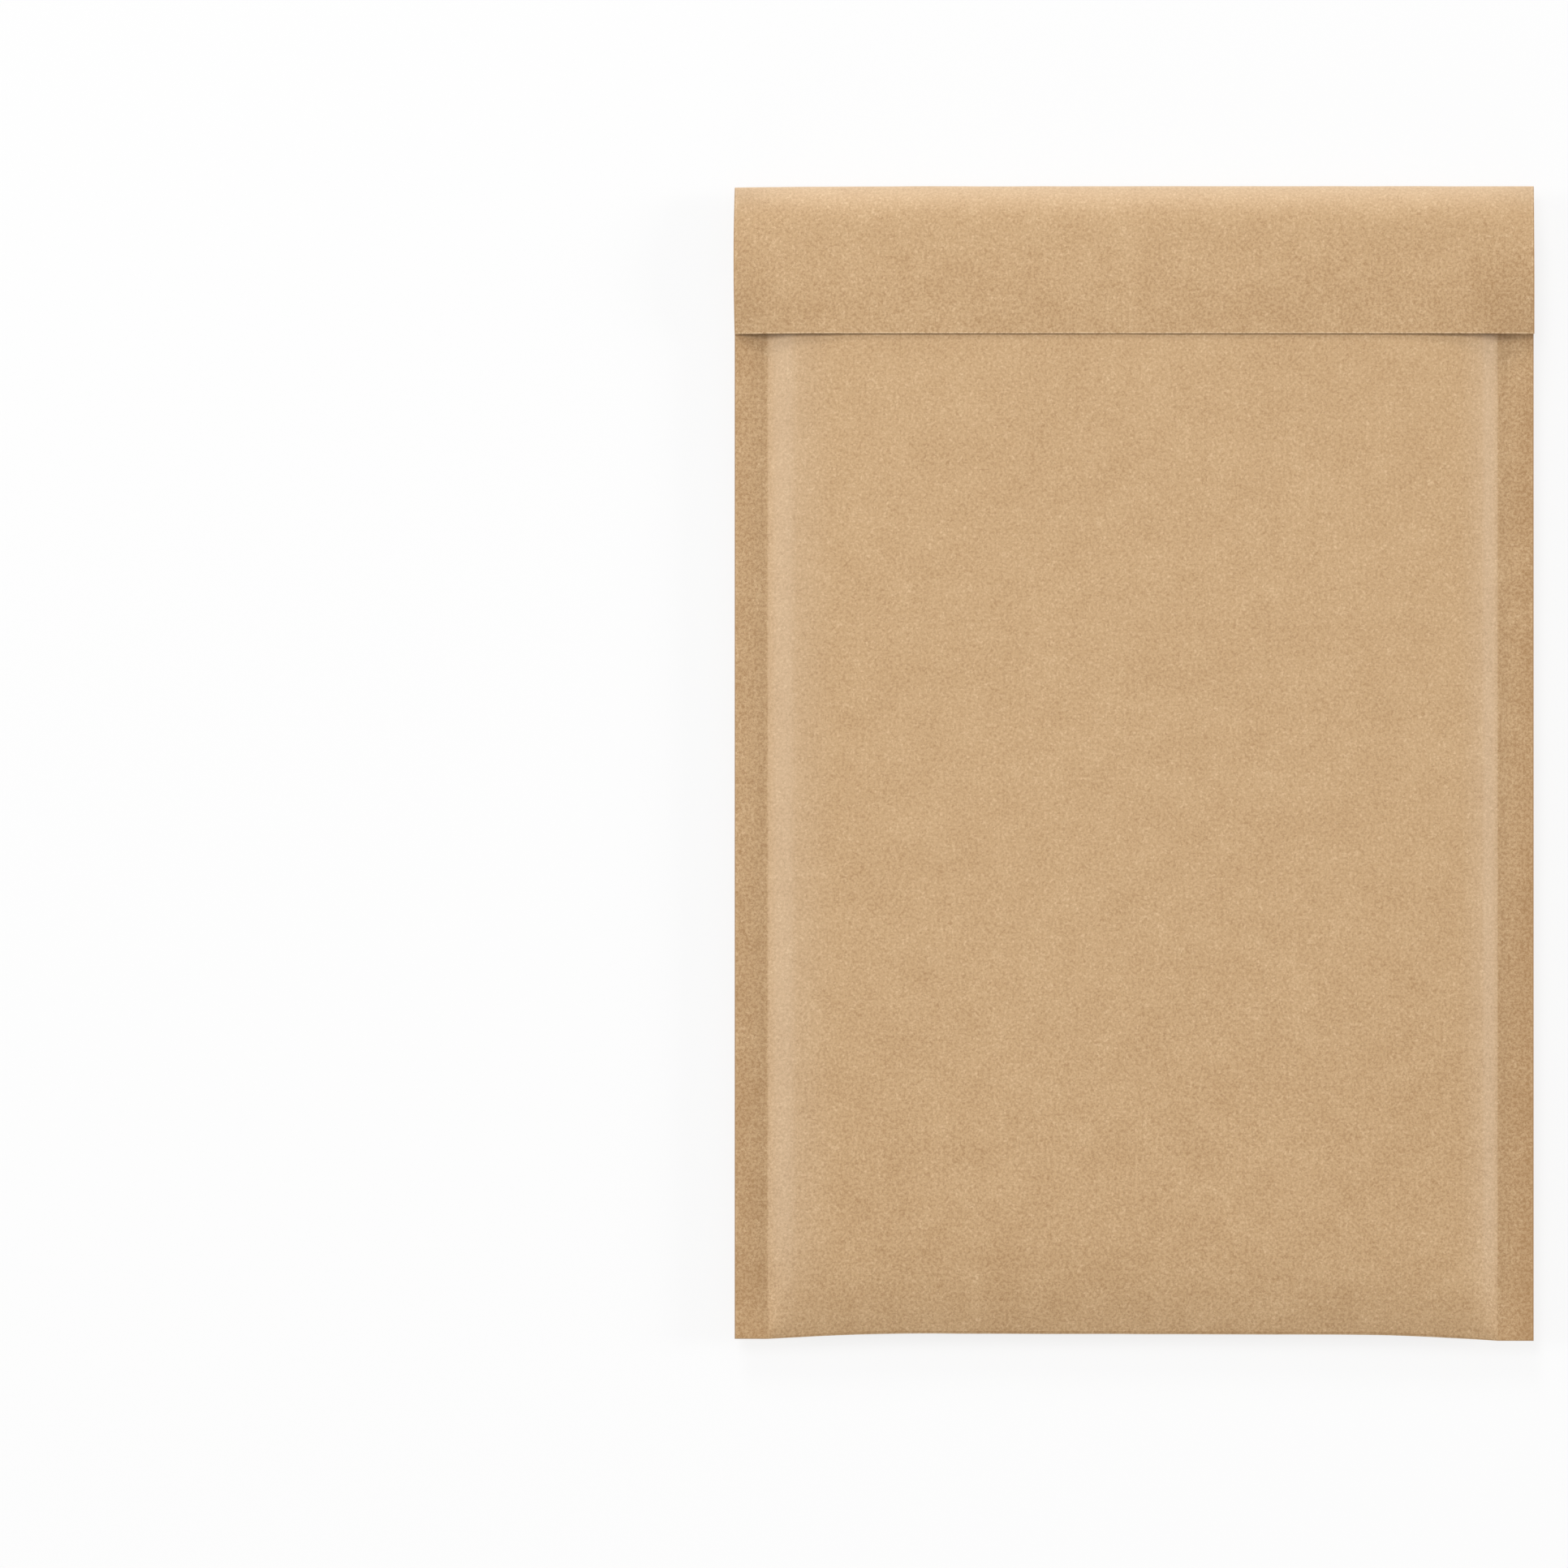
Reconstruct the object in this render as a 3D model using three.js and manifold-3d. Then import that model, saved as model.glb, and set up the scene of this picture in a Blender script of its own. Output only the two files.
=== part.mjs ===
// A padded envelope of brown kraft paper, lying on its back with the flap folded over its front.
// One sheet of paper makes the front, the back and the flap. It is folded at the bottom, sealed
// along both sides and lined with bubble film. Under the flap are the glue and its release liner.
// Millimetres, +Z up, +Y towards the folded top, origin on the surface below the middle.
import * as THREE from "three";
import { mergeVertices } from "three/addons/utils/BufferGeometryUtils.js";
import Module from "manifold-3d";

const wasm = await Module();
wasm.setup();

// Whole envelope
const width = 240;
const length = 346.5;
const bodyThickness = 12;
const fitGap = 0.25; // air between two pieces that lie on each other

// Paper
const paperThickness = 0.25;
const seamLeft = 9.9; // sealed strip along the left side
const seamRight = 10.8;
const seamFilm = 0.1; // crushed film between the two plies of a seam
const weldBite = 0.05; // how deep that film is fused into each ply

// Padded shape
const shoulderRun = 10; // across, from a seam up to the flat of the pad
const shoulderPower = 2.5;
const bottomTaper = 30; // along, from the bottom edge to the flat of the pad
const bottomPower = 2.2;
const noseRun = 2.5; // the blunt end of the pad at the bottom fold
const noseHalf = 2.3;
const bottomRise = 1.9; // how far the padding draws the bottom edge up between the seams
const bottomRiseRun = 37;
const topTaper = 51; // where the pad starts to thin, below the folded top
const mouthSetback = 17; // top edge of the front panel, below the folded top
const mouthDrop = 1.3; // how much lower each panel is at the mouth
const mouthPower = 1.6;

// Flap
const flapLength = 44;
const flapBulge = 0.4; // the flap's sides bow out by this much
const foldRadius = 2.2; // of the bend at the top, over the pad
const foldSideRadius = 0.7; // and at its two ends
const foldBackAngle = 75; // degrees of bend behind the tip of the fold
const foldFrontAngle = 60; // and in front of it
const flapCrest = 27; // highest line of the flap, below the folded top
const flapPower = 4;
const drapePower = 2.2; // how the flap falls off the pad to its two sides

// Lining
const liningThickness = 4.2; // bubble film, one ply
const liningSideGap = 2; // from a seam to the edge of the uncrushed film
const liningShift = 0.6; // sideways clearance on the slope of the shoulder
const liningSetback = 6; // top edge of the lining, below the mouth
const liningEdge = 0.2; // half of the film's thinnest edge
const pocketSideGap = 5.5; // from a seam to where the two plies of film meet
const pocketBottomGap = 13; // and from the bottom edge
const pocketEdge = 0.1; // half of the pocket's height where it starts

// Glue and its cover
const adhesiveThickness = 0.2;
const adhesiveWidth = 14;
const linerThickness = 0.15;
const linerWidth = 18;
const linerInset = 8; // from the flap's free edge
const adhesiveInset = linerInset + (linerWidth - adhesiveWidth) / 2;

// How finely the sheets are divided
const shoulderShares = [0, 0.1, 0.22, 0.38, 0.6, 0.8, 1];
const riseShares = [0.5, 0.75, 1];
const bottomShares = [0, 0.12, 0.28, 0.48, 0.72, 1];
const flapShares = [0, 0.05, 0.1, 0.16, 0.23, 0.31, 0.4, 0.5, 0.61, 0.72, 0.82, 0.92, 1];
const filmShares = [0, 0.12, 0.3, 0.52, 0.78, 1.1];
const pocketShares = [0, 0.35, 1];
const pocketEndShares = [0, 0.3, 0.6];
const liningNoseShares = [0.15, 0.4, 0.7, 1];
const topSteps = 4;
const noseSteps = 4;
const foldSteps = 7;
const stripSteps = 6;

// Worked out from those
const halfWidth = width / 2;
const seamPlane = bodyThickness / 2;
const halfPaper = paperThickness / 2;
const plyHalf = seamFilm / 2 + halfPaper; // middle of a sealed ply, from the seam plane
const padRise = bodyThickness / 2 - halfPaper - plyHalf;
const topY = length / 2;
const bottomY = -length / 2;
const mouthY = topY - mouthSetback;
const taperY = topY - topTaper;
const flatStartY = bottomY + bottomTaper;
const liningTopY = mouthY - liningSetback;
const foldTipY = topY - halfPaper;
const freeEdgeY = topY - flapLength;
const seamHalf = seamFilm / 2 + paperThickness;
const stripStack = adhesiveThickness + linerThickness + 3 * fitGap;
const flapOver = (surface) => ({
  crest: surface + stripStack + halfPaper,
  free: surface + fitGap + halfPaper,
});
const flapMiddle = flapOver(bodyThickness / 2);
const flapSide = flapOver(seamHalf);

const mix = (a, b, t) => a + (b - a) * t;
const clamp01 = (t) => Math.min(Math.max(t, 0), 1);
const easeOut = (t, power) => 1 - (1 - clamp01(t)) ** power;
const steps = (from, to, count) => Array.from({ length: count + 1 }, (_, i) => mix(from, to, i / count));

// What one line along the envelope, at distance x from its middle, has in common.
// shift moves it towards its seam on the slope of the pad only.
function column(x, shift = 0) {
  const seam = x < 0 ? seamLeft : seamRight;
  const fromEdge = halfWidth - Math.abs(x);
  const inside = fromEdge - seam - shift;
  const lift = easeOut(inside / shoulderRun, shoulderPower);
  const drape = easeOut(fromEdge / (seam + shoulderRun), drapePower);
  const rise = bottomRise * Math.sin((clamp01(inside / bottomRiseRun) * Math.PI) / 2);
  return {
    x,
    lift,
    drape,
    tipY: bottomY + halfPaper + rise,
    noseRun: mix(plyHalf, noseRun, lift),
    noseHalf: mix(plyHalf, noseHalf, lift),
    foldRadius: mix(foldSideRadius, foldRadius, drape),
    crest: mix(flapSide.crest, flapMiddle.crest, drape),
    free: mix(flapSide.free, flapMiddle.free, drape),
  };
}

// Each row of the paper gives y and the height over the seam plane for a column.
// A panel row is the front; the same row with its height turned over is the back.
const noseRow = (angle) => (c) => ({
  y: c.tipY + c.noseRun * (1 - Math.cos(angle)),
  z: c.noseHalf * Math.sin(angle),
});
const bottomRow = (t) => (c) => ({
  y: mix(c.tipY + c.noseRun, flatStartY, t),
  z: mix(c.noseHalf, plyHalf + padRise * c.lift, easeOut(t, bottomPower)),
});
const topRow = (t) => (c) => ({
  y: mix(taperY, mouthY, t),
  z: plyHalf + (padRise - mouthDrop * t ** mouthPower) * c.lift,
});
const arcPoint = (c, angle) => ({
  y: foldTipY - c.foldRadius * (1 - Math.cos(angle)),
  z: c.foldRadius * Math.sin(angle),
});
const backEndRow = (t) => (c) => {
  const mouth = topRow(1)(c);
  const fold = arcPoint(c, -THREE.MathUtils.degToRad(foldBackAngle));
  return { y: mix(mouthY, fold.y, t), z: mix(-mouth.z, fold.z, 1 - Math.cos((t * Math.PI) / 2)) };
};
const foldRow = (angle) => (c) => arcPoint(c, angle);

// The flap, at t from 0 where the bend ends to 1 at its free edge.
function flapPoint(c, t) {
  const start = arcPoint(c, THREE.MathUtils.degToRad(foldFrontAngle));
  const crestAt = flapCrest / flapLength;
  const z =
    t < crestAt
      ? mix(start.z, c.crest, easeOut(t / crestAt, flapPower))
      : mix(c.crest, c.free, ((t - crestAt) / (1 - crestAt)) ** mouthPower);
  const bow = 1 + (flapBulge / halfWidth) * 4 * t * (1 - t);
  return { x: c.x * bow, y: mix(start.y, freeEdgeY, t), z };
}
const flapRow = (t) => (c) => flapPoint(c, t);
const turnedOver = (row) => (c) => ({ y: row(c).y, z: -row(c).z });

// Lines across the envelope where the paper's shape is set: dense on the slopes, none on the flat.
function acrossStations(firstInside, insideSteps) {
  const left = -halfWidth + seamLeft;
  const right = halfWidth - seamRight;
  const onSeam = firstInside === 0;
  const seamsLeft = onSeam ? [-halfWidth, -halfWidth + seamLeft / 2] : [];
  const seamsRight = onSeam ? [halfWidth - seamRight / 2, halfWidth] : [];
  const fromLeft = insideSteps.map((d) => left + firstInside + d);
  const fromRight = insideSteps.map((d) => right - firstInside - d).reverse();
  return [...seamsLeft, ...fromLeft, 0, ...fromRight, ...seamsRight];
}
const riseSteps = riseShares.map((t) => t * bottomRiseRun);
const paperColumns = acrossStations(0, [...shoulderShares.map((t) => t * shoulderRun), ...riseSteps]);

// A solid sheet: a flat box whose corners and cross lines are each put in place.
function placedBox(columns, rows, place) {
  const box = new THREE.BoxGeometry(1, 1, 1, columns, rows, 1);
  const at = box.getAttribute("position");
  const half = 0.5;
  for (let i = 0; i < at.count; i++) {
    const column = Math.round((at.getX(i) + half) * columns);
    const row = Math.round((at.getY(i) + half) * rows);
    const side = Math.sign(at.getZ(i));
    at.setXYZ(i, ...place(column, row, side));
  }
  return box;
}

// A curved sheet of even thickness. surface(column, row) gives its middle, from the first row to
// the last, and offset lays it to one side of there.
function thickSheet(columns, rows, surface, thickness, offset = 0) {
  const point = (i, j) =>
    surface(THREE.MathUtils.clamp(i, 0, columns), THREE.MathUtils.clamp(j, 0, rows));
  return placedBox(columns, rows, (i, j, side) => {
    const across = point(i + 1, j).sub(point(i - 1, j));
    const along = point(i, j + 1).sub(point(i, j - 1));
    const normal = across.cross(along).normalize();
    return point(i, j).addScaledVector(normal, offset + (side * thickness) / 2);
  });
}

function toManifold(geometry) {
  const bare = geometry.clone();
  bare.deleteAttribute("normal");
  bare.deleteAttribute("uv");
  const merged = mergeVertices(bare, 1e-4);
  return new wasm.Manifold(
    new wasm.Mesh({
      numProp: 3,
      vertProperties: merged.getAttribute("position").array,
      triVerts: new Uint32Array(merged.index.array),
    }),
  );
}

function toGeometry(solid) {
  const made = solid.getMesh();
  const geometry = new THREE.BufferGeometry();
  geometry.setAttribute("position", new THREE.BufferAttribute(made.vertProperties, 3));
  geometry.setIndex(new THREE.BufferAttribute(made.triVerts, 1));
  geometry.computeVertexNormals();
  return geometry;
}

// The sheet of paper, from the flap's free edge over the top fold, down the back, round the
// bottom and up the front to the mouth.
function paperGeometry() {
  const foldStart = THREE.MathUtils.degToRad(foldFrontAngle);
  const foldEnd = -THREE.MathUtils.degToRad(foldBackAngle);
  const flaps = flapShares.slice(1).reverse().map(flapRow);
  const tapers = steps(1, 0, topSteps).map(topRow);
  const bottoms = bottomShares.slice(1).reverse().map(bottomRow);
  const noses = steps(Math.PI / 2, 0, noseSteps).map(noseRow);
  const panel = [...tapers, ...bottoms, ...noses];
  const backEnds = steps(1, 0, topSteps).slice(1, -1).map(backEndRow);
  const rows = [
    ...flaps,
    ...steps(foldStart, foldEnd, foldSteps).map(foldRow),
    ...backEnds,
    ...panel.map(turnedOver),
    ...panel.slice(0, -1).reverse(),
  ];
  const lines = paperColumns.map((x) => column(x));
  const surface = (i, j) => {
    const { x = lines[i].x, y, z } = rows[j](lines[i]);
    return new THREE.Vector3(x, y, z);
  };
  return thickSheet(lines.length - 1, rows.length - 1, surface, paperThickness);
}

// The fused film in a side seam, from x0 to x1.
function seamStrip(x0, x1) {
  const startY = bottomY + paperThickness - weldBite;
  const strip = new THREE.BoxGeometry(x1 - x0, mouthY - startY, seamFilm + 2 * weldBite);
  return strip.translate((x0 + x1) / 2, (startY + mouthY) / 2, 0);
}

function sealedPaper() {
  return toGeometry(
    toManifold(paperGeometry())
      .add(toManifold(seamStrip(-halfWidth, -halfWidth + seamLeft)))
      .add(toManifold(seamStrip(halfWidth - seamRight, halfWidth))),
  );
}

// The bubble film: one folded, side-sealed bag that fills the paper, with a thin pocket in it.
const liningClearance = halfPaper + fitGap;
const liningBottomRow = (row) => (c) => ({
  y: row(c).y + liningClearance,
  z: Math.max(row(c).z - liningClearance, liningEdge),
});

// The height of the film over the seam plane in the thinning top of the pad.
const liningTopRow = (t) => (c) => {
  const y = mix(taperY, liningTopY, t);
  const along = (y - taperY) / (mouthY - taperY);
  return { y, z: topRow(along)(c).z - liningClearance };
};

// A solid between a row's height above the seam plane and the same below it.
function lens(stations, rows) {
  const lines = stations.map((x) => column(x, liningShift));
  return placedBox(lines.length - 1, rows.length - 1, (i, j, side) => {
    const { y, z } = rows[j](lines[i]);
    return [lines[i].x, y, side * z];
  });
}

function liningGeometry() {
  const rows = [
    ...liningNoseShares.map((t) => liningBottomRow(noseRow((t * Math.PI) / 2))),
    ...bottomShares.slice(1, -1).map((t) => liningBottomRow(bottomRow(t))),
    (c) => ({ y: flatStartY, z: plyHalf + padRise * c.lift - liningClearance }),
    ...steps(0, 1, topSteps).map(liningTopRow),
  ];
  const filmSteps = filmShares.map((t) => t * (shoulderRun - liningSideGap));
  const film = lens(acrossStations(liningSideGap, [...filmSteps, ...riseSteps.slice(1)]), rows);

  const pocketHalf = (z) => Math.max(z - liningThickness, pocketEdge);
  const pocketStart = (c) => c.tipY + pocketBottomGap;
  const bottomHalf = (c, y) => {
    const from = c.tipY + c.noseRun;
    const t = clamp01((y - from) / (flatStartY - from));
    return bottomRow(t)(c).z - liningClearance;
  };
  const pocketRows = [
    ...pocketEndShares.map((t) => (c) => {
      const y = mix(pocketStart(c), flatStartY, t);
      return { y, z: pocketHalf(bottomHalf(c, y)) };
    }),
    (c) => ({ y: flatStartY, z: pocketHalf(plyHalf + padRise * c.lift - liningClearance) }),
    ...steps(0, 1, topSteps).map((t) => (c) => {
      const { y, z } = liningTopRow(t)(c);
      return { y, z: pocketHalf(z) };
    }),
    (c) => ({ y: liningTopY + liningEdge, z: pocketHalf(liningTopRow(1)(c).z) }),
  ];
  const pocketSteps = pocketShares.map((t) => t * (shoulderRun + liningShift - pocketSideGap));
  const pocket = lens(acrossStations(pocketSideGap, [...pocketSteps, ...riseSteps.slice(1)]), pocketRows);
  return toGeometry(toManifold(film).subtract(toManifold(pocket)));
}

// A band on the inside of the flap, depth below the middle of the paper, from the flap's free
// edge inwards.
function flapBand(inset, bandWidth, thickness, depth) {
  const rows = steps(inset / flapLength, (inset + bandWidth) / flapLength, stripSteps).map((t) => 1 - t);
  const lines = paperColumns.map((x) => column(x));
  const surface = (i, j) => {
    const { x, y, z } = flapPoint(lines[i], rows[j]);
    return new THREE.Vector3(x, y, z);
  };
  return thickSheet(lines.length - 1, rows.length - 1, surface, thickness, -depth);
}

const kraft = new THREE.MeshStandardMaterial({ color: 0xcaa880, roughness: 0.85, metalness: 0 });
const film = new THREE.MeshStandardMaterial({ color: 0xe6eaec, roughness: 0.3, metalness: 0 });
const glue = new THREE.MeshStandardMaterial({ color: 0xe9dfb4, roughness: 0.35, metalness: 0 });
const coated = new THREE.MeshStandardMaterial({ color: 0xf1efe8, roughness: 0.45, metalness: 0 });

const envelope = new THREE.Group();
envelope.position.z = seamPlane;

function addPiece(name, geometry, material) {
  const piece = new THREE.Mesh(geometry, material);
  piece.name = name;
  envelope.add(piece);
}

const adhesiveDepth = halfPaper + fitGap + adhesiveThickness / 2;
const linerDepth = halfPaper + 2 * fitGap + adhesiveThickness + linerThickness / 2;
addPiece("kraft_paper", sealedPaper(), kraft);
addPiece("bubble_lining", liningGeometry(), film);
addPiece("adhesive_strip", flapBand(adhesiveInset, adhesiveWidth, adhesiveThickness, adhesiveDepth), glue);
addPiece("release_liner", flapBand(linerInset, linerWidth, linerThickness, linerDepth), coated);

export default envelope;
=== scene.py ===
import math
from collections import namedtuple
from itertools import pairwise

import bmesh
import bpy
from bpy.props import FloatProperty, FloatVectorProperty, IntProperty, PointerProperty
from mathutils import Matrix, Vector, noise


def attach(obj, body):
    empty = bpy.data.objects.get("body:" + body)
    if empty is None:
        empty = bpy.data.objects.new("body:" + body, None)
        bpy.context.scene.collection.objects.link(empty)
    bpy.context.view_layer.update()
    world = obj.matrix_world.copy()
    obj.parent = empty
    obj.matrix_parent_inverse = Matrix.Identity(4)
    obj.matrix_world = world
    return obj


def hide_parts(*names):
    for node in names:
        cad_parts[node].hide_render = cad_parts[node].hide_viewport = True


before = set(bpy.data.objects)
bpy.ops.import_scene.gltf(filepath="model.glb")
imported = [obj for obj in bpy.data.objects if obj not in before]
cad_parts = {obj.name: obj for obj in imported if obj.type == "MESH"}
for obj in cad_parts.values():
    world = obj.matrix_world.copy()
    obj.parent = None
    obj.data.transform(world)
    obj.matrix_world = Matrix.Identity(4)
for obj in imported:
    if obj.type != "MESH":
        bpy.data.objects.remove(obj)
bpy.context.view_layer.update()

bl_info = {
    "name": "Padded Envelope",
    "version": (1, 0, 0),
    "blender": (4, 5, 0),
    "location": "3D View > Sidebar > Envelope",
    "description": "A bubble-lined kraft paper envelope, folded from one sheet and lying on its back",
    "category": "Object",
}

MILLIMETRES = 1000
SRGB_WHITE = 255
SRGB_GAMMA = 2.2
WHITE = (1, 1, 1)

# How finely the sheets are divided, and how much their lines crowd where they bend most.
SEAM_COLUMNS = 6
SHOULDER_COLUMNS = 26
MIDDLE_COLUMNS = 46
FLAP_ROWS = 36
FOLD_ROWS = 14
BACK_END_ROWS = 8
PANEL_ROWS = 120
NOSE_ROWS = 12
FILM_ROWS = 50
STRIP_ROWS = 8
SHOULDER_CROWDING = 1.3
PANEL_CROWDING = 1.5
FILM_CROWDING = 1.3
SHOULDER_SPAN = 2.4
CUT_EDGE = 0.00012

# Where the bend at the folded top ends, behind and in front.
BACK_BEND = math.radians(75)
FRONT_BEND = math.radians(65)

# How far apart the ridge of the pad sways along a seam, and the row of the noise that each side reads.
RIDGE_SWAY_LENGTH = 0.045
SIDE_ROW = 3

# Below this share of the padding the envelope is flat.
LEAST_SHARE = 0.001

# The soft unevenness of handled paper: the lengths of its swells, and the share that a pressed seam keeps.
BROAD_SWELL = 0.018
SMALL_SWELL = 0.009
SMALL_SHIFT = Vector((7, 3, 1))
SMALL_SHARE = 0.45
MOST_UNEVEN = 1 + SMALL_SHARE
SEAM_RELIEF = 0.1

# How the film lies: how far round the bottom fold it reaches, its clearance, and the pocket in it.
FILM_REACH = 0.8
FILM_CLEARANCE = 0.6
LEAST_POCKET = 0.0002
MOST_POCKET = 0.8
DOME_RINGS = 6
BELOW_RIM = 0.01

# Over how many millimetres each mark on the paper comes or goes.
SPANS = {
    "seam_crease": (-0.3, 0.3),
    "mouth": (0, 1),
    "ridge_rise": (0, 3.5),
    "ridge_near": (6, 9.5),
    "ridge_far": (6, 22),
    "ridge_foot": (-8, 42),
    "fold_near": (0, 2.5),
    "fold_far": (1, 14),
    "free_end": (6, 40),
    "right_corner": (5, 26),
    "right_part": (0, 150),
    "left_corner": (5, 16),
    "cut_side": (0.2, 0.4),
    "pale_side_start": (0.3, 0.5),
    "pale_side_end": (0.6, 0.9),
    "pale_end": (0.3, 0.5),
    "pale_fold": (0.6, 1),
    "fold_crease_start": (1.1, 1.3),
    "fold_crease_end": (1.5, 1.8),
    "low_end": (0, 40),
    "low_half": (0, 180),
    "outer": (0, 8),
    "middle": (-1, 1),
}

# How much of the painted sheen on a pad's ridge shows at its crease already.
RIDGE_START = 0.5

# How much of the painted shade shows in each place of the flap, whose free end and corners bend down away
# from the light.
FLAP_SHADE_SHARES = {"right_corner": 1, "right_part": 0.4, "left_corner": 0.5, "all": 0.7}

# How much each painted highlight pales the paper, and how much the seams' pressed tone and each painted
# shade darken it.
# Painted highlights: a light line inside each cut side, along the flap's free edge and along the bottom
# fold.
PAINTED_HIGHLIGHTS = {"pale_side": 0.25, "pale_end": 0.75, "pale_fold": 0.9}
# Darker marks: the seams partly from their pressed tone and partly painted shade from the pad beside them;
# the rest is painted shade along the cut sides, in the crease by the bottom fold, on the flap's free end
# and corners, towards the bottom and towards the seams' outer edges.
SEAM_TONE_AND_PAINTED_SHADE = {
    "pressed_and_shaded": 0.2,
    "cut_side": 0.45,
    "fold_crease": 0.35,
    "flap_shade": 1,
    "low_end": 0.02,
    "low_half": 0.1,
    "outer": 0.05,
    "outer_right": 0.13,
}

# The hairs in the paper: sizes in millimetres, and the place in the noise that each kind is read from.
Hair = namedtuple("Hair", "size width shift weight")
FINE_LIGHT = Hair(size=0.62, width=0.17, shift=(31, 7, 0), weight=0.37)
BROAD_LIGHT = Hair(size=1.7, width=0.06, shift=(5, 83, 0), weight=0.25)
FINE_DARK = Hair(size=0.66, width=0.17, shift=(67, 41, 0), weight=0.4)
BROAD_DARK = Hair(size=1.9, width=0.05, shift=(11, 19, 0), weight=0.18)
HAIR_CURL = 0.6
HAIR_BREAKS = 0.7
HAIR_GAPS = (0.4, 0.56)
HAIR_CORE = 0.4

# The middle of a noise's range.
MIDDLE = 0.5

# The paper's grain, clouds, patches and specks: how many to a millimetre, and how much each one shows.
GRAIN_SCALE = 3.2
GRAIN_WEIGHT = 0.45
CLOUD_SCALE = 0.09
CLOUD_WEIGHT = 0.38
PATCH_SCALE = 0.018
PATCH_WEIGHT = 0.17
SPECK_SCALE = 0.16
SPECK_EDGE = (0.018, 0.045)
SPECK_WEIGHT = 0.55
DARK_TONE = 0.9
DARK_HOLLOW = 0.6
CLOUD_RELIEF = 0.8
KRAFT_ROUGHNESS = 0.68
KRAFT_ROUGHNESS_SWING = 0.25
KRAFT_BUMP = 0.00005

# The film, the glue and the liner.
HAZE_SCALE = 0.25
HAZE_TONE = 0.94
FILM_ROUGHNESS = (0.12, 0.24)
FILM_ALPHA = (0.3, 0.46)
FILM_BUMP = 0.0002
FILM_IOR = 1.5
GLUE_TONES = ((0.78, 0.68, 0.4), (0.88, 0.8, 0.56))
GLUE_SCALE = 0.5
GLUE_ROUGHNESS = (0.18, 0.38)
GLUE_BUMP = 0.0002
LINER_TONES = ((0.8, 0.79, 0.75), (0.88, 0.87, 0.84))
LINER_SCALE = 1.4
LINER_ROUGHNESS = (0.36, 0.48)
LINER_BUMP = 0.00005

# The floor, and over what distance from the envelope it turns plain white.
FLOOR_HALF_SIZE = 6
FLOOR_CELLS = 8
FLOOR_DROP = 0.0003
PLAIN_WHITE = (0.3, 2)

# The soft lamps: where each one shines from, its height and spread in degrees, and its strength.
Lamp = namedtuple("Lamp", "heading elevation strength spread")
LAMPS = {
    "left": Lamp(heading=(-1, 0.1), elevation=18, strength=1.25, spread=16),
    "right": Lamp(heading=(1, 0.1), elevation=16, strength=1.65, spread=16),
    "top": Lamp(heading=(-0.2, 1), elevation=24, strength=0.9, spread=16),
    "bounce": Lamp(heading=(0, -1), elevation=10, strength=0.4, spread=20),
}
LAMP_DISTANCE = 2
WINDOW_POWER = 10
WINDOW_SIZE = 0.7
WINDOW_PLACE = Vector((-0.5, 0.9, 1.6))


def length(name, description, default):
    """A length in metres that shows in the panel in the user's units."""
    return FloatProperty(name=name, description=description, default=default, unit="LENGTH", precision=5)


def share(name, description, default):
    """A plain number, such as a share of something or the power of a curve."""
    return FloatProperty(name=name, description=description, default=default, precision=3)


def colour(name, description, default):
    """A linear colour, written as the sRGB values that it shows as."""
    linear = [(value / SRGB_WHITE) ** SRGB_GAMMA for value in default]
    limits = {"subtype": "COLOR", "min": 0, "max": 1}
    return FloatVectorProperty(name=name, description=description, default=linear, **limits)


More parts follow.
